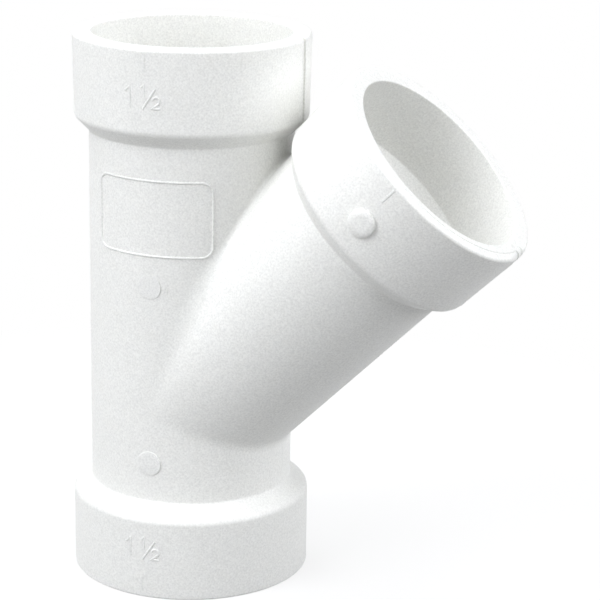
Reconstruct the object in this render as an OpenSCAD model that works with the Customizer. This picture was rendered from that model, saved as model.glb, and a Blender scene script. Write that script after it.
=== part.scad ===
// Plain plastic drain pipe wye: a straight run with a socket at each end and a
// branch at 45 degrees with a third socket, moulded as one piece.
// Millimetres. The run stands on its lower mouth along +Z and the branch leans toward +X.

/* [Sockets] */
// Outside diameter of the pipe that the sockets take
pipe_d = 48.3; // [30:0.1:120]
// Clearance of a socket over that diameter
pipe_gap = 0.1; // [0.05:0.05:0.5]
// Depth of a socket from its mouth to the pipe stop
socket_depth = 17.5; // [10:0.1:60]
// Width of the lead-in bevel at a mouth
lead_in = 0.45; // [0.2:0.05:2]
// Width of the pipe stop, the ledge at the bottom of a socket
stop_w = 3.7; // [1.5:0.1:8]
// How much deeper the inner edge of that sloping ledge lies than its outer edge
stop_slope = 2.2; // [0.2:0.1:6]

/* [Hubs] */
// Wall of a hub at its rim
hub_wall = 4.6; // [3:0.1:12]
// How much the hub narrows on its radius from the rim to the shoulder
hub_draft = 0.4; // [0:0.05:2]
// Wall of the stouter lower hub at its rim
low_hub_wall = 5.2; // [3:0.1:12]
// How much the lower hub narrows on its radius from the rim to the shoulder
low_hub_draft = 0.05; // [0:0.05:2]
// Length of a run hub from its rim to the shoulder
run_hub_len = 19.6; // [12:0.1:60]
// Length of the branch hub from its rim to the shoulder
branch_hub_len = 20.4; // [12:0.1:60]
// Length of the sloping shoulder behind a hub
shoulder_len = 4.1; // [2:0.1:20]
// Rounding of the outer corner of a shoulder
shoulder_round = 2; // [0.5:0.1:6]
// Rounding of the inner corner where a shoulder meets the body
shoulder_fillet = 0.7; // [0.2:0.1:4]
// Bevel on the outer edge of a rim
rim_bevel = 0.9; // [0.2:0.1:3]

/* [Body] */
// Wall of the run and of the branch between the hubs
body_wall = 4.45; // [2.5:0.05:12]
// Length of the run from mouth to mouth
run_len = 135; // [90:0.5:300]
// Height of the point where the branch axis leaves the run axis
branch_height = 45.4; // [30:0.1:150]
// Length of the branch from that point to its mouth
branch_reach = 90.2; // [60:0.1:250]
// Angle between the branch and the upper half of the run
branch_angle = 45; // [40:1:60]

/* [Junction blend] */
// Radius of the blend in the narrow crotch above the branch
crotch_blend = 0.8; // [0.4:0.1:3]
// Radius that the blend grows to on the two flanks, where the walls meet ever flatter
flank_blend = 16; // [1:0.5:25]
// Radius of the blend under the branch
heel_blend = 4.4; // [1:0.1:8]

/* [Moulding marks] */
// Diameter of the raised round pads
pad_d = 6.3; // [3:0.1:12]
// Distance of the low pad's centre above the lower shoulder
low_pad_up = 9.7; // [4:0.1:30]
// Distance of the faint middle pad's centre below the frame's middle
mid_pad_down = 17.5; // [10:0.1:60]
// Distance of the branch hub's pad from the mouth
hub_pad_back = 12.7; // [5:0.1:40]
// Turn of the upper ticks and of the frame round the run, from -Y toward +X
mark_turn = 1.6; // [-20:0.1:20]
// Height of a pad above the surface
pad_rise = 0.3; // [0.1:0.05:1]
// Length of an alignment tick behind a rim
tick_len = 4.4; // [2:0.1:10]
// Width of an alignment tick
tick_w = 0.6; // [0.3:0.05:2]
// Height of an alignment tick above the hub
tick_rise = 0.25; // [0.1:0.05:1]
// Width of the raised frame on the side of the run
frame_w = 29.4; // [15:0.1:40]
// Height of the raised frame
frame_h = 18.4; // [8:0.1:40]
// Width of the frame's own line
frame_line = 0.6; // [0.3:0.05:2]
// Corner radius of the frame
frame_corner = 2.6; // [1:0.1:8]
// Height of the frame's line above the surface
frame_rise = 0.25; // [0.1:0.05:1]
// Height of the middle of the frame on the run
frame_z = 94.2; // [30:0.1:200]

/* [Hidden] */
$fn = 96;
socket_r = (pipe_d + pipe_gap) / 2;
waterway_r = socket_r - stop_w;
hub_r = socket_r + hub_wall;
low_hub_r = socket_r + low_hub_wall;
body_r = waterway_r + body_wall;
side_gap = 0.05; // the branch is this much slimmer on its radius, as its half of the mould is
branch_r = body_r - side_gap;
branch_way_r = waterway_r - side_gap;
past = 2; // how far a cut runs on past a mouth
skin = 0.03; // how far a blend starts under the surfaces it joins
sunk = 1.5; // how deep a blend or a raised mark is rooted in the wall
blend_end = 84; // azimuth at which a blend has run out to nothing
blend_steps = 40;
crotch_arc_steps = 10;
heel_arc_steps = 5;
out_dir = [sin(branch_angle), 0, cos(branch_angle)];

// Unit vector along v.
function unit(v) = v / norm(v);

// Unit vector a fraction f of the way round from u to v.
function swing(u, v, f) =
    let (a = acos(u * v))
    (sin((1 - f) * a) * u + sin(f * a) * v) / sin(a);

// Points of an arc of radius r that rounds the corner k between a and b.
function rounded(a, k, b, r, n) =
    let (u = unit(a - k))
    let (w = unit(b - k))
    let (half = acos(u * w) / 2)
    let (c = k + unit(u + w) * r / sin(half))
    let (p = k + u * r / tan(half))
    let (q = k + w * r / tan(half))
    [for (i = [0:n]) c + r * swing((p - c) / r, (q - c) / r, i / n)];

// Outline of a hub as radius and distance from its mouth, rim first.
function hub_line(hub_len, r_rim, draft, r_end) =
    let (rim = [r_rim, rim_bevel])
    let (corner = [r_rim - draft, hub_len])
    let (root = [r_end, hub_len + shoulder_len])
    let (on = [r_end, hub_len + 2 * shoulder_len])
    concat(
        rounded([0, 0], [r_rim - rim_bevel, 0], rim, rim_bevel / 2, 3),
        rounded([r_rim - rim_bevel, 0], rim, corner, rim_bevel / 2, 3),
        rounded(rim, corner, root, shoulder_round, 8),
        rounded(corner, root, on, shoulder_fillet, 4)
    );

// The same outline backwards.
function turned(line) = [for (i = [len(line) - 1:-1:0]) line[i]];

// Radius of the blend at azimuth az round the run: one value for most of the way, the flank value at the tips.
function blend_r(mid_r, az) = mid_r + (flank_blend - mid_r) * pow(sin(az), 8);

// Centre of the ball that rests on run and branch at azimuth az, above (side 1) or below (side -1) the branch.
function ball_at(mid_r, side, az) =
    let (q = body_r + blend_r(mid_r, az))
    let (n = side * sqrt(pow(branch_r + blend_r(mid_r, az), 2) - pow(q * sin(az), 2)))
    let (h = (n + q * cos(az) * cos(branch_angle)) / sin(branch_angle))
    [q * cos(az), q * sin(az), h];

// One cross-section of a blend: its root in the run, the arc, its root in the branch, and the crease behind.
function blend_ring(mid_r, side, az, n) =
    let (r = blend_r(mid_r, az))
    let (c = ball_at(mid_r, side, az))
    let (to_run = unit([-c[0], -c[1], 0]))
    let (to_branch = unit(out_dir * (c * out_dir) - c))
    let (crease = r / sqrt((1 + to_run * to_branch) / 2) + 1)
    concat(
        [c + to_run * (r + sunk)],
        [for (i = [0:n]) c + swing(to_run, to_branch, i / n) * (r + skin)],
        [c + to_branch * (r + sunk)],
        [c + unit(to_run + to_branch) * crease]
    );

// Solid of one blend, swept through its cross-sections.
module blend(mid_r, side, n) {
    m = n + 4;
    rings = [for (i = [0:blend_steps]) blend_ring(mid_r, side, blend_end * (2 * i / blend_steps - 1), n)];
    points = [for (ring = rings) for (p = ring) p];
    quads = [for (i = [0:blend_steps - 1]) for (j = [0:m - 1]) [i * m + j, i * m + (j + 1) % m, i * m + m]];
    walls_a = [for (q = quads) [q[0], q[0] + m, q[1]]];
    walls_b = [for (q = quads) [q[1], q[0] + m, q[1] + m]];
    first = [for (j = [0:m - 1]) (m - 1 + j) % m];
    last = [for (j = [0:m - 1]) blend_steps * m + (2 * m - 1 - j) % m];
    faces = concat(walls_a, walls_b, [first], [last]);
    flipped = [for (f = faces) turned(f)];
    translate([0, 0, branch_height])
        polyhedron(points = points, faces = side > 0 ? flipped : faces);
}

// Puts its children in the frame of the branch, mouth toward +Z.
module on_branch() {
    translate([0, 0, branch_height])
        rotate([0, branch_angle, 0])
            children();
}

// The run's outer solid: a hub, a shoulder, the body, a shoulder and a hub.
module run_outside() {
    low = hub_line(run_hub_len, low_hub_r, low_hub_draft, body_r);
    high = [for (p = turned(hub_line(run_hub_len, hub_r, hub_draft, body_r))) [p[0], run_len - p[1]]];
    rotate_extrude()
        polygon(concat([[0, 0]], low, high, [[0, run_len]]));
}

// The branch's outer solid, from the run's axis out to its mouth.
module branch_outside() {
    line = [for (p = turned(hub_line(branch_hub_len, hub_r, hub_draft, branch_r))) [p[0], branch_reach - p[1]]];
    on_branch()
        rotate_extrude()
            polygon(concat([[0, 0], [branch_r, 0]], line, [[0, branch_reach]]));
}

// A socket, its lead-in and its sloping stop down to a waterway of radius way_r.
// It is cut down from a mouth at the origin that opens toward +Z.
module socket_cut(way_r) {
    translate([0, 0, -socket_depth])
        cylinder(h = socket_depth + past, r = socket_r);
    translate([0, 0, -socket_depth - stop_slope])
        cylinder(h = stop_slope, r1 = way_r, r2 = socket_r);
    translate([0, 0, -lead_in])
        cylinder(h = lead_in + past, r1 = socket_r, r2 = socket_r + lead_in + past);
}

// Every hollow of the fitting.
module waterways() {
    translate([0, 0, socket_depth / 2])
        cylinder(h = run_len - socket_depth, r = waterway_r);
    translate([0, 0, run_len])
        socket_cut(waterway_r);
    mirror([0, 0, 1])
        socket_cut(waterway_r);
    on_branch()
        cylinder(h = branch_reach - socket_depth / 2, r = branch_way_r);
    on_branch()
        translate([0, 0, branch_reach])
            socket_cut(branch_way_r);
}

// A round pad that stands off a surface of radius r facing -Y at height z.
module pad(r, z, rise) {
    translate([0, -r + sunk, z])
        rotate([90, 0, 0])
            cylinder(h = sunk + rise, d = pad_d);
}

// An alignment tick just behind a rim of radius r at height 0, with the hub below it.
// It is turned az from -Y toward +X.
module tick(r, az) {
    rotate([0, 0, az])
        translate([-tick_w / 2, -r - tick_rise, -rim_bevel - tick_len])
            cube([tick_w, sunk + tick_rise, tick_len]);
}

// Rectangle with round corners, centred.
module round_rect(w, h, r) {
    square([w, h - 2 * r], center = true);
    square([w - 2 * r, h], center = true);
    for (x = [-1, 1], y = [-1, 1])
        translate([x * (w / 2 - r), y * (h / 2 - r)])
            circle(r = r);
}

// The raised blank frame on the run's side.
module frame_mark() {
    intersection() {
        translate([0, 0, frame_z])
            rotate([90, 0, 0])
                linear_extrude(height = 2 * body_r)
                    difference() {
                        round_rect(frame_w, frame_h, frame_corner);
                        round_rect(frame_w - 2 * frame_line, frame_h - 2 * frame_line, frame_corner - frame_line);
                    }
        difference() {
            translate([0, 0, frame_z - frame_h])
                cylinder(h = 2 * frame_h, r = body_r + frame_rise);
            translate([0, 0, frame_z - frame_h - 1])
                cylinder(h = 2 * frame_h + 2, r = body_r - sunk);
        }
    }
}

// Every small raised mark of the moulding.
module marks() {
    pad(body_r, run_hub_len + shoulder_len + low_pad_up, pad_rise);
    pad(body_r, frame_z - mid_pad_down, pad_rise / 2);
    rotate([0, 0, mark_turn])
        frame_mark();
    translate([0, 0, run_len])
        tick(hub_r, mark_turn);
    translate([0, 0, run_len])
        tick(hub_r, mark_turn + 45);
    mirror([0, 0, 1])
        tick(low_hub_r, 0);
    on_branch()
        translate([0, 0, branch_reach])
            tick(hub_r, 0);
    on_branch()
        pad(hub_r - hub_draft / 2, branch_reach - hub_pad_back, pad_rise);
}

// The whole fitting.
module wye_body() {
    color([0.93, 0.93, 0.92])
        difference() {
            union() {
                run_outside();
                branch_outside();
                blend(crotch_blend, 1, crotch_arc_steps);
                blend(heel_blend, -1, heel_arc_steps);
                marks();
            }
            waterways();
        }
}

wye_body();
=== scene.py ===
import math

import bmesh
import bpy
import numpy as np
from mathutils import Matrix, Vector


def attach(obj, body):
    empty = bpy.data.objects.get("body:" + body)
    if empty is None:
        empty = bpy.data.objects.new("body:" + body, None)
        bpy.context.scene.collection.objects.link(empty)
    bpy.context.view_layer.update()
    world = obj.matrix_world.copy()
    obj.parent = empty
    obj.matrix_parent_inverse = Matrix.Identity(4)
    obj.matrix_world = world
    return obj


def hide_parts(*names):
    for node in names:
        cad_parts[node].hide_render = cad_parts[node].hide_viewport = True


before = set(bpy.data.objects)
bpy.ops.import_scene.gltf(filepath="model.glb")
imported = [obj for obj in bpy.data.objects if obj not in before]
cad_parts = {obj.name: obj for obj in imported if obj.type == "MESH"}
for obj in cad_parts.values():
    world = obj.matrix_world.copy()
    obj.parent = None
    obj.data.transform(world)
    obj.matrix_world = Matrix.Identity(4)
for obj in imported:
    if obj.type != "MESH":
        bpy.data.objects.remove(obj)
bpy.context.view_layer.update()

MM = 0.001

# Sizes in millimetres. The part's source states the same ones, but for the hubs', the roundings' and the marks'.
SOCKET_R = 24.2
SOCKET_DEPTH = 17.5
STOP_SLOPE = 2.2
WAY_R = 20.5
# Each hub, as measured in the photograph: radius at the rim, draft, length to the shoulder, length of the shoulder,
# rounding of the rim's outer edge.
TOP_HUB = (28.8, 0.4, 20.2, 3.5, 0.8)
LOW_HUB = (29.38, 0.05, 20.0, 3.4, 0.45)
SIDE_HUB = (28.8, 0.4, 20.2, 3.5, 0.7)
HEEL_EDGE = 1.56    # the branch rim's rounding at the heel, which keeps that corner inside the solid's box
SHOULDER_ROUND = 2.0
SHOULDER_FILLET = 0.7
LEAD_IN_ROUND = 0.3
BODY_R = 24.95
RUN_LEN = 135.0
BRANCH_Z = 45.4
BRANCH_REACH = 90.2
CROTCH_BLEND = 0.8
FLANK_BLEND = 16.0
HEEL_BLEND = 4.4
INNER_EDGE = 0.5

HALF = 96            # columns over half of the way round
LOW_ROWS = 16        # rows of faces on the run below the branch
HIGH_ROWS = 34       # and above it
BRANCH_ROWS = 34     # rows of faces on the branch
ROOT2 = math.sqrt(2.0)
OUT = np.array([1.0, 0.0, 1.0]) / ROOT2      # along the branch, to its mouth
INWARD = np.array([-1.0, 0.0, 1.0]) / ROOT2  # across the branch, toward the run
SIDE = np.array([0.0, 1.0, 0.0])
BRANCH_FOOT = np.array([0.0, 0.0, BRANCH_Z])


# ---------------------------------------------------------------- profiles

def unit(v):
    return v / np.linalg.norm(v)


def rounded(a, k, b, r, n):
    """Points of an arc of radius r that rounds the corner k between a and b."""
    a, k, b = (np.array(p, float) for p in (a, k, b))
    u, w = unit(a - k), unit(b - k)
    half = math.acos(float(np.clip(u @ w, -1, 1))) / 2
    c = k + unit(u + w) * r / math.sin(half)
    p, q = k + u * r / math.tan(half) - c, k + w * r / math.tan(half) - c
    full = math.acos(float(np.clip(p @ q / (r * r), -1, 1)))
    return [tuple(c + (math.sin((1 - f) * full) * p + math.sin(f * full) * q) / math.sin(full))
            for f in (i / n for i in range(n + 1))]


def outline(corners, longest):
    """A profile through corners (point, radius, steps).

    Straight stretches are cut no longer than longest, with a short step beside every arc.
    """
    points = [corners[0][0]]
    for i in range(1, len(corners) - 1):
        k, r, n = corners[i]
        points.append(("arc", rounded(corners[i - 1][0], k, corners[i + 1][0], r, n)))
    points.append(corners[-1][0])
    line = [tuple(points[0])]
    for item in points[1:]:
        target = item[1][0] if item[0] == "arc" else item
        a, b = np.array(line[-1], float), np.array(target, float)
        length = float(np.linalg.norm(b - a))
        edge = min(0.25, length / 4)
        if length > 0.7:
            steps = max(1, int(math.ceil((length - 2 * edge) / longest)))
            cuts = [edge + (length - 2 * edge) * j / steps for j in range(steps + 1)]
        else:
            cuts = []
        line += [tuple(a + (b - a) * c / length) for c in cuts]
        line += list(item[1]) if item[0] == "arc" else [tuple(item)]
    return line


def hub_outline(hub):
    """Outside of a hub from its rim to the body, as (radius, distance from the mouth)."""
    rim, draft, hub_len, shoulder, edge = hub
    return outline([
        ((rim - edge - 0.5, 0.0), 0, 0),
        ((rim, 0.0), edge, 10),
        ((rim - draft, hub_len), SHOULDER_ROUND, 10),
        ((BODY_R, hub_len + shoulder), SHOULDER_FILLET, 6),
        ((BODY_R, hub_len + shoulder + 1.2), 0, 0),
    ], 1.8)


def socket_outline():
    """Inside of a socket from its mouth to the waterway."""
    return outline([
        ((SOCKET_R + 2 * LEAD_IN_ROUND, 0.0), 0, 0),
        ((SOCKET_R, 0.0), LEAD_IN_ROUND, 5),
        ((SOCKET_R, SOCKET_DEPTH), 0.3, 4),
        ((WAY_R, SOCKET_DEPTH + STOP_SLOPE), 0.5, 5),
        ((WAY_R, SOCKET_DEPTH + STOP_SLOPE + 1.5), 0, 0),
    ], 2.4)


# ---------------------------------------------------------------- skin

class Skin:
    """Vertices and faces of one mesh, built from rows of points."""

    def __init__(self):
        self.points, self.faces, self.count = [], [], 0

    def row(self, points):
        points = np.asarray(points, float)
        self.points.append(points)
        self.count += len(points)
        return list(range(self.count - len(points), self.count))

    def stitch(self, a, b, closed=True):
        n = len(a)
        for i in range(n if closed else n - 1):
            j = (i + 1) % n
            face = []
            for v in (a[i], a[j], b[j], b[i]):
                if v not in face:
                    face.append(v)
            if len(face) > 2:
                self.faces.append(face)

    def mesh(self, name):
        mesh = bpy.data.meshes.new(name)
        mesh.from_pydata((np.vstack(self.points) * MM).tolist(), [], self.faces)
        mesh.validate()
        return mesh


AZ = np.radians(-90.0 + 180.0 * np.arange(2 * HALF) / HALF)   # round the run; the first half faces the branch
FRONT = AZ[:HALF + 1]


def run_ring(r, z):
    return np.stack([r * np.cos(AZ), r * np.sin(AZ), np.broadcast_to(z, AZ.shape)], 1)


def branch_ring(r, s):
    """Ring round the branch: first the side toward the run, then the far side."""
    r, s = np.broadcast_to(r, (2 * HALF,))[:, None], np.broadcast_to(s, (2 * HALF,))
    across = np.concatenate([np.cos(FRONT), -np.cos(FRONT[-2:0:-1])])
    along_y = np.concatenate([np.sin(FRONT), np.sin(FRONT[-2:0:-1])])
    return BRANCH_FOOT + s[:, None] * OUT + r * (across[:, None] * INWARD + along_y[:, None] * SIDE)


def ease_heel(rows):
    """The side hub's rings with the rim's rounding grown toward the heel, to stay inside the solid's box."""
    rim, edge, zone = SIDE_HUB[0], SIDE_HUB[4], 3.0
    toward_heel = np.concatenate([-np.cos(FRONT), np.cos(FRONT[-2:0:-1])])
    grown = np.maximum(edge, HEEL_EDGE - rim * (1 - toward_heel) / (2 - ROOT2))

    def moved(away):
        return np.where(away < edge, away * grown / edge,
                        np.where(away < zone, grown + (away - edge) * (zone - grown) / (zone - edge), away))
    return [(rim - moved(max(0.0, rim - q)), moved(t)) if t < zone else (q, t) for q, t in rows]


def tube_skin(skin, r, low_line, top_line, branch_line, crotch, heel, flank, arc_steps):
    """Surface of a run and a branch of radius r that meet in a blend. Returns the rings at the three mouths."""
    lift = {1: 1 + ROOT2, -1: 1 - ROOT2}
    cos, sin = np.cos(FRONT), np.sin(FRONT)
    blend = {side: mid + (flank - mid) * sin ** 8 for side, mid in ((1, crotch), (-1, heel))}
    level = {side: BRANCH_Z + lift[side] * (r + blend[side]) * cos for side in (1, -1)}
    behind = np.full(HALF - 1, BRANCH_Z)

    def fan(start, ends, count, kept):
        return [skin.row(run_ring(r, start + (ends - start) * k / count)) for k in range(1, kept + 1)]

    low = [skin.row(run_ring(q, z)) for q, z in low_line]
    low += fan(low_line[-1][1], np.concatenate([level[-1], behind]), LOW_ROWS, LOW_ROWS)
    waist = low[-1]
    high = [skin.row(run_ring(q, RUN_LEN - z)) for q, z in top_line]
    ends = np.concatenate([level[1], behind])
    high += fan(RUN_LEN - top_line[-1][1], ends, HIGH_ROWS, HIGH_ROWS - 1)
    seam = skin.row(run_ring(r, ends)[1:HALF])
    last = [waist[0]] + seam + waist[HALF:]
    high.append(last)
    for rows in (low, high):
        for a, b in zip(rows, rows[1:]):
            skin.stitch(a, b)

    reach = {}
    for side, start in ((1, last[:HALF + 1]), (-1, waist[:HALF + 1])):
        ball = r + blend[side]
        centre = np.stack([ball * cos, ball * sin, level[side]], 1)
        along = (centre - BRANCH_FOOT) @ OUT
        foot = BRANCH_FOOT + along[:, None] * OUT
        to_run = -np.stack([cos, sin, 0 * cos], 1)
        to_branch = (foot - centre) / ball[:, None]
        angle = np.arccos(np.clip((to_run * to_branch).sum(1), -1, 1))
        row = start
        for i in range(1, arc_steps[side] + 1):
            f = i / arc_steps[side]
            safe = np.maximum(np.sin(angle), 1e-9)
            arm = (np.sin((1 - f) * angle) / safe)[:, None] * to_run + (np.sin(f * angle) / safe)[:, None] * to_branch
            points = centre + arm * blend[side][:, None]
            fresh = skin.row(points[1:HALF])
            nxt = [start[0]] + fresh + [start[HALF]]
            skin.stitch(row, nxt, closed=False)
            row = nxt
        reach[side] = (row, along)

    first = reach[1][0] + reach[-1][0][-2:0:-1]
    begin = np.concatenate([reach[1][1], reach[-1][1][-2:0:-1]])
    begin[0] = begin[HALF] = 0.0
    end = BRANCH_REACH - branch_line[-1][1]
    rows = [first]
    for k in range(1, BRANCH_ROWS):
        rows.append(skin.row(branch_ring(r, begin + (end - begin) * k / BRANCH_ROWS)))
    rows += [skin.row(branch_ring(q, BRANCH_REACH - t)) for q, t in reversed(branch_line)]
    for a, b in zip(rows, rows[1:]):
        skin.stitch(a, b)
    return low[0], high[0], rows[-1]


def wye_mesh():
    skin = Skin()
    outside = tube_skin(skin, BODY_R, hub_outline(LOW_HUB), hub_outline(TOP_HUB), ease_heel(hub_outline(SIDE_HUB)),
                        CROTCH_BLEND, HEEL_BLEND, FLANK_BLEND, {1: 10, -1: 10})
    inside = tube_skin(skin, WAY_R, socket_outline(), socket_outline(), socket_outline(),
                       INNER_EDGE, INNER_EDGE, INNER_EDGE, {1: 5, -1: 3})
    for a, b in zip(outside, inside):
        skin.stitch(a, b)
    return skin.mesh("wye_skin")


def smooth_object(name, mesh, angle=40.0):
    """An object of a closed mesh, smooth but for edges sharper than angle."""
    bm = bmesh.new()
    bm.from_mesh(mesh)
    bmesh.ops.remove_doubles(bm, verts=bm.verts, dist=1e-7)
    bmesh.ops.recalc_face_normals(bm, faces=bm.faces)
    for f in bm.faces:
        f.smooth = True
    limit = math.radians(angle)
    for e in bm.edges:
        e.smooth = len(e.link_faces) == 2 and e.calc_face_angle(0.0) < limit
    bm.to_mesh(mesh)
    bm.free()
    obj = bpy.data.objects.new(name, mesh)
    bpy.context.scene.collection.objects.link(obj)
    return obj


def score(mesh, inside, plane, inward, half, depth):
    """Presses a groove into a mesh where inside(p) holds.

    The groove follows plane, a point and a normal, and is half wide on each side of it. It goes depth(p) deep, along
    inward(p).
    """
    point, normal = plane
    point, normal = Vector(point) * MM, Vector(normal).normalized()
    bm = bmesh.new()
    bm.from_mesh(mesh)
    for offset in (-half, -0.45 * half, 0.0, 0.45 * half, half):
        near = [f for f in bm.faces if all(inside(v.co / MM) for v in f.verts)]
        near = near + list({e for f in near for e in f.edges}) + list({v for f in near for v in f.verts})
        bmesh.ops.bisect_plane(bm, geom=near, plane_co=point + normal * offset * MM, plane_no=normal, dist=1e-8)
    for v in bm.verts:
        p = v.co / MM
        away = abs((v.co - point).dot(normal)) / MM
        if away < 0.9 * half and inside(p):
            v.co += inward(p) * depth(p) * MM
    bm.to_mesh(mesh)
    bm.free()


# The parting line on the upper hub: azimuth behind the side toward the branch, lean, half of its width, and its depth
# at the rim and below
PARTING_TURN = math.radians(2.6)
PARTING_LEAN = 0.032
PARTING_HALF = 0.75
PARTING_DEPTH = (0.4, 1.9)
# The pressed tick on the upper hub: azimuth from the front, half of its width, depth, and the ends of its full depth
# below the rim
TICK_TURN = math.radians(47.7)
TICK_HALF = 0.5
TICK_DEPTH = 0.18
TICK_SPAN = (1.2, 5)
# The nicks in the branch's rim at the heel: place along Y, half of their width, depth
NICKS = ((0.1, 0.55, 1.1), (2.9, 0.45, 0.8))


def ramp(value, length):
    """From 0 to 1 over length."""
    return min(1.0, max(0.0, value / length))


def score_parting_line(mesh):
    """The mould's parting line on the upper hub, the tick beside it and the nicks in the branch's rim."""
    upper = (TOP_HUB[0] * math.cos(PARTING_TURN), TOP_HUB[0] * math.sin(PARTING_TURN), RUN_LEN - 3)
    low = RUN_LEN - TOP_HUB[2] - TOP_HUB[3]
    out, inward = Vector(OUT), Vector(INWARD)
    foot = Vector((0, 0, BRANCH_Z))

    def on_upper_hub(p):
        clear_of_branch = (p - foot).dot(inward) > SIDE_HUB[0] + 0.15
        return p.z > low and p.x > 24 and p.xy.length > BODY_R and abs(p.y) < 8 and clear_of_branch

    def hub_depth(p):
        shallow, full = PARTING_DEPTH
        return ramp(p.z - low, 2.0) * (shallow + (full - shallow) * ramp(RUN_LEN - p.z, 2.5))

    def to_axis(p):
        return -Vector((p.x, p.y, 0)).normalized()

    parting = (upper, (-math.sin(PARTING_TURN), math.cos(PARTING_TURN), PARTING_LEAN))
    score(mesh, on_upper_hub, parting, to_axis, PARTING_HALF, hub_depth)

    def near_top(p):
        return RUN_LEN - 6.6 < p.z < RUN_LEN - 0.9 and p.x > 0 > p.y and p.xy.length > BODY_R + 1

    def tick_depth(p):
        return TICK_DEPTH if RUN_LEN - TICK_SPAN[1] < p.z < RUN_LEN - TICK_SPAN[0] else 0.0

    score(mesh, near_top, ((0, 0, 0), (math.cos(TICK_TURN), math.sin(TICK_TURN), 0)), to_axis, TICK_HALF, tick_depth)

    def on_rim(p):
        q = p - foot
        return q.dot(out) > BRANCH_REACH - 3.5 and q.dot(inward) < -25.8 and abs(q.y) < 8

    def nick_depth(p):
        q = p - foot
        over_face = ramp(-q.dot(inward) - 26.2, 0.8)
        near_rim = ramp(q.dot(out) - BRANCH_REACH + 2.6, 1.2)
        return over_face * near_rim

    for y, half, depth in NICKS:
        score(mesh, on_rim, ((0, y, 0), (0, 1, 0)), lambda p: (inward - out).normalized(), half,
              lambda p: depth * nick_depth(p))


# ---------------------------------------------------------------- raised marks

def on_run(radius):
    """Places (u, v, w): u along the surface from -Y toward +X, v up the run, w out of the surface."""
    def place(u, v, w):
        r = radius(v)
        a = u / r
        return np.array([(r + w) * math.sin(a), -(r + w) * math.cos(a), v])
    return place


def on_branch(radius):
    """The same on the branch, with v along it from the run's axis."""
    def place(u, v, w):
        r = radius(v)
        a = u / r
        return BRANCH_FOOT + v * OUT - (r + w) * (math.sin(a) * INWARD + math.cos(a) * SIDE)
    return place


def hub_radius(distance, hub):
    return hub[0] - hub[1] * distance / hub[2]


top_hub = on_run(lambda v: hub_radius(RUN_LEN - v, TOP_HUB))
low_hub = on_run(lambda v: hub_radius(v, LOW_HUB))
run_body = on_run(lambda v: BODY_R)
side_hub = on_branch(lambda v: hub_radius(BRANCH_REACH - v, SIDE_HUB))


RIM_LINE_R = 26.0


def branch_rim(u, r, w):
    """Places on the face of the branch's rim.

    u is the arc length at RIM_LINE_R from -Y toward the heel, r the radius and w the height out of the face.
    """
    a = u / RIM_LINE_R
    return BRANCH_FOOT + (BRANCH_REACH + w) * OUT - r * (math.sin(a) * INWARD + math.cos(a) * SIDE)


def dense(path, step):
    """The path with no stretch longer than step."""
    out = [np.array(path[0], float)]
    for p in path[1:]:
        p = np.array(p, float)
        n = max(1, int(math.ceil(np.linalg.norm(p - out[-1]) / step)))
        a = out[-1]
        out += [a + (p - a) * i / n for i in range(1, n + 1)]
    return out


def bead(skin, path, width, height, place, closed=False, sunk=0.25):
    """A low rounded bead along a path on a surface."""
    pts = [np.array(p, float) for p in path]
    if closed and np.linalg.norm(pts[0] - pts[-1]) < 1e-6:
        pts = pts[:-1]
    n = len(pts)
    shape = [(-0.5, -sunk), (-0.5, height * 0.1), (-0.38, height * 0.6), (-0.15, height),
             (0.15, height), (0.38, height * 0.6), (0.5, height * 0.1), (0.5, -sunk)]
    rows = []
    for i in range(n):
        before = pts[i - 1] if i > 0 or closed else None
        after = pts[(i + 1) % n] if i < n - 1 or closed else None
        t1 = unit(pts[i] - before) if before is not None else None
        t2 = unit(after - pts[i]) if after is not None else None
        t = unit((t1 if t1 is not None else t2) + (t2 if t2 is not None else t1))
        grow = 1.0 if t1 is None or t2 is None else 1.0 / max(0.5, float(t @ t1))
        side = np.array([t[1], -t[0]]) * grow
        rows.append(skin.row([place(*(pts[i] + side * a * width), w) for a, w in shape]))
    for a, b in zip(rows, rows[1:] + (rows[:1] if closed else [])):
        skin.stitch(a, b)
    if not closed:
        for row in (rows[0], rows[-1]):
            skin.faces.append(list(row))


def arc(cx, cy, r, a0, a1, n):
    return [(cx + r * math.cos(math.radians(a0 + (a1 - a0) * i / n)),
             cy + r * math.sin(math.radians(a0 + (a1 - a0) * i / n))) for i in range(n + 1)]


def two(x, y, w, h):
    """A plain figure two with its lower left corner at x, y."""
    r = w / 2 - 0.05
    return arc(x + r + 0.05, y + h - r, r, 170, -40, 12) + [(x, y), (x + w, y)]


def size_mark(x, y):
    """Strokes of a plain one and a half, by the middle of its foot."""
    strokes = [
        [(-3.7, 3.95), (-2.45, 5.05), (-2.4, 0.1)],
        [(0.55, 5.0), (1.25, 5.6), (1.3, 2.8)],
        [(0.9, 0.0), (4.1, 4.9)],
        two(3.3, 0.2, 1.85, 2.65),
    ]
    return [[(x + u, y + v) for u, v in stroke] for stroke in strokes]


def pad(skin, u, v, diameter, rise, place, sunk=0.4):
    """A flat round pad with a soft edge."""
    r = diameter / 2
    rings = [(r, -sunk), (r, 0.55 * rise), (r - 0.05, 0.86 * rise), (r - 0.14, rise)]
    base = place(u, v, 0.0)
    out = unit(place(u, v, 1.0) - base)
    up = unit(place(u, v + 0.5, 0.0) - place(u, v - 0.5, 0.0))
    up = unit(up - (up @ out) * out)
    across = np.cross(up, out)
    angles = np.radians(np.arange(0, 360, 7.5))
    rows = []
    for q, w in rings + [(r * 0.5, rise)]:
        rows.append(skin.row([base + out * w + q * (math.cos(a) * across + math.sin(a) * up) for a in angles]))
    for a, b in zip(rows, rows[1:]):
        skin.stitch(a, b)
    skin.faces.append(list(rows[-1]))
    skin.faces.append(list(reversed(rows[0])))


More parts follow.
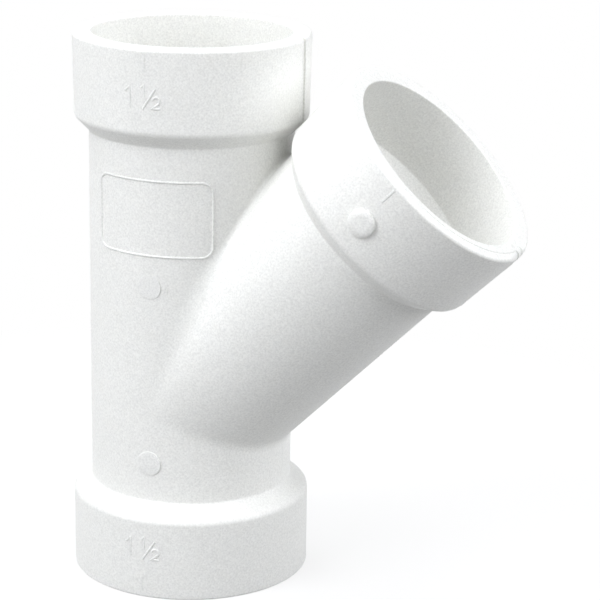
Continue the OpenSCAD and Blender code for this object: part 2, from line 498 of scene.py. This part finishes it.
def frame_path(half_w, low, high, r, turn):
    """Rounded rectangle seen along Y and then turned round the run, as arc length and height on the body."""
    pts = []
    for cx, cz, a in ((half_w - r, high - r, 0), (-half_w + r, high - r, 90),
                      (-half_w + r, low + r, 180), (half_w - r, low + r, 270)):
        pts += arc(cx, cz, r, a, a + 90, 8)
    pts = dense(pts + [pts[0]], 0.7)
    return [(BODY_R * (math.asin(x / BODY_R) + math.radians(turn)), z) for x, z in pts[:-1]]


def marks_mesh():
    skin = Skin()
    for az, place, v0, v1, wide, high in ((2.3, top_hub, RUN_LEN - 5.3, RUN_LEN - 0.95, 0.95, 0.12),
                                          (0.9, low_hub, 0.95, 5.3, 0.95, 0.11),
                                          (0, side_hub, BRANCH_REACH - 5.3, BRANCH_REACH - 0.95, 0.7, 0.11)):
        u = math.radians(az) * TOP_HUB[0]
        bead(skin, dense([(u, v0), (u, v1)], 0.6), wide, high, place)
    for u in (4.55, 5.1):
        bead(skin, dense([(u, 75.9), (u, 77.6)], 0.4), 0.3, 0.06, run_body)
    bead(skin, frame_path(14.45, 85.1, 103.2, 2.4, 1.4), 0.62, 0.25, run_body, closed=True)
    pad(skin, 0.45, 33.0, 6.2, 0.17, run_body)
    pad(skin, 0.6, 77.4, 6.1, 0.06, run_body)
    pad(skin, 0.5, BRANCH_REACH - 12.3, 6.5, 0.85, side_hub)
    # The line on the branch's rim draws nearer to the outer edge toward the heel.
    rim_line = [(RIM_LINE_R * math.radians(az), 25.9 + 1.1 * max(0.0, (az - 40) / 52) ** 2) for az in range(-20, 91, 2)]
    bead(skin, rim_line, 0.5, 0.14, branch_rim)
    return skin.mesh("raised_marks")


def numerals_mesh():
    skin = Skin()
    for place, x, y in ((top_hub, 0.0, 121.0), (low_hub, -0.1, 9.85)):
        for path in size_mark(x, y):
            upright = abs(path[-1][0] - path[-2][0]) < 0.1
            bead(skin, dense(path, 0.3), 0.6, 0.11 if upright else 0.16, place)
    return skin.mesh("size_numerals")


def seam_mesh():
    """The fine raised line where the two halves of the mould met, in the plane of both axes."""
    skin = Skin()

    def ribbon(points, outward):
        pts = dense(points, 0.8)
        rows = []
        for i, p in enumerate(pts):
            n = outward(p)
            rows.append(skin.row([p + n * w + SIDE * a for a, w in
                                  ((-0.2, -0.15), (-0.16, 0.01), (0.0, 0.05), (0.16, 0.01), (0.2, -0.15))]))
        for a, b in zip(rows, rows[1:]):
            skin.stitch(a, b)
        skin.faces.append(list(rows[0]))
        skin.faces.append(list(rows[-1]))

    def run_point(r, z, sign):
        return np.array([sign * r, 0.0, z])

    def branch_point(r, s, sign):
        return BRANCH_FOOT + s * OUT + sign * r * INWARD

    top_line, low_line, side_line = ([(q, t) for q, t in hub_outline(hub) if t > 1.8]
                                     for hub in (TOP_HUB, LOW_HUB, SIDE_HUB))
    low_line = [(q - 0.04, t) for q, t in low_line]   # hardly proud, where the lower hub is widest
    x = np.array([1.0, 0.0, 0.0])
    back = [run_point(q, t, -1) for q, t in low_line]
    back += [run_point(q, RUN_LEN - t, -1) for q, t in reversed(top_line)]
    ribbon(back, lambda p: -x)
    heel = BRANCH_Z - (ROOT2 - 1) * (BODY_R + HEEL_BLEND)
    ribbon([run_point(q, t, 1) for q, t in low_line] + [run_point(BODY_R, heel, 1)], lambda p: x)
    crotch = BRANCH_Z + (ROOT2 + 1) * (BODY_R + CROTCH_BLEND)
    ribbon([run_point(BODY_R, crotch, 1)]
           + [run_point(q, RUN_LEN - t, 1) for q, t in reversed(top_line)], lambda p: x)
    ribbon([branch_point(BODY_R, (ROOT2 + 1) * (BODY_R + CROTCH_BLEND), 1)]
           + [branch_point(q, BRANCH_REACH - t, 1) for q, t in reversed(side_line)], lambda p: INWARD)
    ribbon([branch_point(BODY_R, (ROOT2 - 1) * (BODY_R + HEEL_BLEND), -1)]
           + [branch_point(q, BRANCH_REACH - t, -1) for q, t in reversed(side_line)], lambda p: -INWARD)
    return skin.mesh("mould_seam")


# ---------------------------------------------------------------- material

def pvc():
    mat = bpy.data.materials.new("white_pvc")
    mat.use_nodes = True
    tree = mat.node_tree
    nodes, links = tree.nodes, tree.links
    shader = nodes["Principled BSDF"]
    shader.inputs["IOR"].default_value = 1.52
    shader.inputs["Subsurface Weight"].default_value = 0.12
    shader.inputs["Subsurface Radius"].default_value = (1.0, 0.95, 0.85)
    shader.inputs["Subsurface Scale"].default_value = 0.0015
    coord = nodes.new("ShaderNodeTexCoord")

    def noise(scale, detail, rough):
        n = nodes.new("ShaderNodeTexNoise")
        n.inputs["Scale"].default_value = scale
        n.inputs["Detail"].default_value = detail
        n.inputs["Roughness"].default_value = rough
        links.new(coord.outputs["Object"], n.inputs["Vector"])
        return n

    broad = noise(38.0, 3.0, 0.5)
    tone = nodes.new("ShaderNodeValToRGB")
    tone.color_ramp.elements[0].position = 0.3
    tone.color_ramp.elements[0].color = (0.862, 0.862, 0.832, 1)
    tone.color_ramp.elements[1].position = 0.7
    tone.color_ramp.elements[1].color = (0.888, 0.886, 0.856, 1)
    links.new(broad.outputs["Fac"], tone.inputs["Fac"])

    grain = noise(2200.0, 2.0, 0.6)
    speckle = nodes.new("ShaderNodeMapRange")
    speckle.inputs["From Min"].default_value = 0.3
    speckle.inputs["From Max"].default_value = 0.7
    speckle.inputs["To Min"].default_value = 0.9
    speckle.inputs["To Max"].default_value = 1.1
    links.new(grain.outputs["Fac"], speckle.inputs["Value"])
    grained = nodes.new("ShaderNodeVectorMath")
    grained.operation = "SCALE"
    links.new(tone.outputs["Color"], grained.inputs[0])
    links.new(speckle.outputs["Result"], grained.inputs["Scale"])
    links.new(grained.outputs["Vector"], shader.inputs["Base Color"])

    fine = noise(1300.0, 2.0, 0.55)
    gloss = nodes.new("ShaderNodeMapRange")
    gloss.inputs["From Min"].default_value = 0.3
    gloss.inputs["From Max"].default_value = 0.7
    gloss.inputs["To Min"].default_value = 0.36
    gloss.inputs["To Max"].default_value = 0.5
    links.new(fine.outputs["Fac"], gloss.inputs["Value"])
    links.new(gloss.outputs["Result"], shader.inputs["Roughness"])

    peel = noise(420.0, 3.0, 0.6)
    mix = nodes.new("ShaderNodeMath")
    mix.operation = "MULTIPLY_ADD"
    mix.inputs[1].default_value = 0.35
    links.new(fine.outputs["Fac"], mix.inputs[0])
    links.new(peel.outputs["Fac"], mix.inputs[2])
    bump = nodes.new("ShaderNodeBump")
    bump.inputs["Strength"].default_value = 0.35
    bump.inputs["Distance"].default_value = 0.00006
    links.new(mix.outputs["Value"], bump.inputs["Height"])
    links.new(bump.outputs["Normal"], shader.inputs["Normal"])
    return mat


# ---------------------------------------------------------------- pieces

white = pvc()
moulding = wye_mesh()
score_parting_line(moulding)
skin = smooth_object("wye_moulding", moulding)
marks = smooth_object("raised_marks", marks_mesh(), 60)
numerals = smooth_object("size_numerals", numerals_mesh(), 60)
seam = smooth_object("mould_seam", seam_mesh(), 80)
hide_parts("wye_body")
for piece in (skin, marks, numerals, seam):
    piece.data.materials.append(white)
    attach(piece, "root")


# ---------------------------------------------------------------- stage

def add(tree, kind, **values):
    """A node of that kind, with its settings and the values of its sockets."""
    node = tree.nodes.new("ShaderNode" + kind)
    for key, value in values.items():
        if hasattr(node, key):
            setattr(node, key, value)
        else:
            node.inputs[key.replace("_", " ")].default_value = value
    return node


def camera_sees(tree):
    """1 where the picture shows the surface, straight or by way of a reflection or glass."""
    path = add(tree, "LightPath")
    total = path.outputs["Is Camera Ray"]
    for other in ("Is Glossy Ray", "Is Transmission Ray"):
        most = add(tree, "Math", operation="MAXIMUM")
        tree.links.new(total, most.inputs[0])
        tree.links.new(path.outputs[other], most.inputs[1])
        total = most.outputs["Value"]
    return total


def white_floor():
    """A mid grey studio floor that the picture shows as white, with the shadow at the object's foot kept."""
    mat = bpy.data.materials.new("white_floor")
    mat.use_nodes = True
    tree = mat.node_tree
    tree.nodes.clear()
    out = add(tree, "OutputMaterial")
    bounce = add(tree, "BsdfDiffuse", Color=(0.25, 0.25, 0.25, 1))
    lit = add(tree, "BsdfDiffuse", Color=(0.9, 0.9, 0.9, 1))
    glow = add(tree, "Emission", Color=(1, 1, 1, 1), Strength=1.0)
    shown, whole = add(tree, "MixShader"), add(tree, "MixShader")
    coord = add(tree, "TexCoord")
    far = add(tree, "VectorMath", operation="LENGTH")
    fade = add(tree, "MapRange", To_Min=0.72, To_Max=1.0, From_Min=0.04, From_Max=0.2)
    tree.links.new(coord.outputs["Object"], far.inputs[0])
    tree.links.new(far.outputs["Value"], fade.inputs["Value"])
    tree.links.new(fade.outputs["Result"], shown.inputs["Fac"])
    tree.links.new(lit.outputs["BSDF"], shown.inputs[1])
    tree.links.new(glow.outputs["Emission"], shown.inputs[2])
    tree.links.new(camera_sees(tree), whole.inputs["Fac"])
    tree.links.new(bounce.outputs["BSDF"], whole.inputs[1])
    tree.links.new(shown.outputs["Shader"], whole.inputs[2])
    tree.links.new(whole.outputs["Shader"], out.inputs["Surface"])
    return mat


bpy.ops.mesh.primitive_plane_add(size=6.0, location=(0, 0, 0))
floor = bpy.context.object
floor.name = "floor"
floor.data.materials.append(white_floor())

ROOM_LIGHT = 0.0
world = bpy.data.worlds.new("studio")
bpy.context.scene.world = world
world.use_nodes = True
tree = world.node_tree
tree.nodes.clear()
out = add(tree, "OutputWorld")
mix = add(tree, "MixShader")
room = add(tree, "Background", Color=(1, 1, 1, 1), Strength=ROOM_LIGHT)
backdrop = add(tree, "Background", Color=(1, 1, 1, 1), Strength=1.0)
path = add(tree, "LightPath")
seen = add(tree, "Math", operation="MAXIMUM")
tree.links.new(path.outputs["Is Camera Ray"], seen.inputs[0])
tree.links.new(path.outputs["Is Transmission Ray"], seen.inputs[1])
tree.links.new(seen.outputs["Value"], mix.inputs["Fac"])
tree.links.new(room.outputs["Background"], mix.inputs[1])
tree.links.new(backdrop.outputs["Background"], mix.inputs[2])
tree.links.new(mix.outputs["Shader"], out.inputs["Surface"])

LIGHT_COLOUR = (0.955, 0.97, 1.0)
CENTRE = Vector((0.02, 0.0, 0.07))
LAMP_AWAY, LAMP_SIZE = 1.3, 0.8


def lamp(name, azimuth, elevation, power):
    """A square soft box that faces the object. Azimuth 0 is the front and 90 the side the branch leans to."""
    a, e = math.radians(azimuth), math.radians(elevation)
    away = Vector((math.cos(e) * math.sin(a), -math.cos(e) * math.cos(a), math.sin(e)))
    data = bpy.data.lights.new(name, "AREA")
    data.shape = "SQUARE"
    data.size = LAMP_SIZE
    data.energy = power
    data.color = LIGHT_COLOUR
    obj = bpy.data.objects.new(name, data)
    bpy.context.scene.collection.objects.link(obj)
    obj.location = CENTRE + LAMP_AWAY * away
    obj.rotation_euler = away.to_track_quat("Z", "Y").to_euler()


# Name, azimuth, elevation, watts
LAMPS = (
    ("overhead", 0, 90, 5.6),
    ("back_high", 180, 60, 0.5),
    ("back_left_high", 240, 60, 3.3),
    ("left_high", 300, 60, 3.8),
    ("right_high", 90, 40, 0.7),
    ("front_high", 0, 40, 1.8),
    ("front_left_high", 330, 40, 9.1),
    ("front_right", 45, 25, 2.2),
    ("right", 90, 25, 8.8),
    ("back_right", 135, 25, 4.2),
    ("back_left", 225, 25, 3.2),
    ("front_left", 315, 5, 5.8),
    ("front_low", 0, 5, 0.8),
)
for details in LAMPS:
    lamp(*details)

# ---------------------------------------------------------------- camera

CAMERA_AT = (0.23005, -0.4855, 0.22509)
RIGHT = Vector((0.922, 0.3868, 0.0156))
BACK = Vector((0.3672, -0.8867, 0.2808))
FOCAL_PX = 2258.28
PHOTO_PX = 600.0

data = bpy.data.cameras.new("camera")
data.sensor_width = 36.0
data.sensor_fit = "HORIZONTAL"
data.lens = FOCAL_PX / PHOTO_PX * data.sensor_width
data.clip_start, data.clip_end = 0.01, 20.0
camera = bpy.data.objects.new("camera", data)
bpy.context.scene.collection.objects.link(camera)
back = BACK.normalized()
right = (RIGHT - back * RIGHT.dot(back)).normalized()
up = back.cross(right)
camera.matrix_world = Matrix.Translation(CAMERA_AT) @ Matrix((right, up, back)).transposed().to_4x4()
bpy.context.scene.camera = camera
bpy.context.scene.view_settings.view_transform = "Standard"
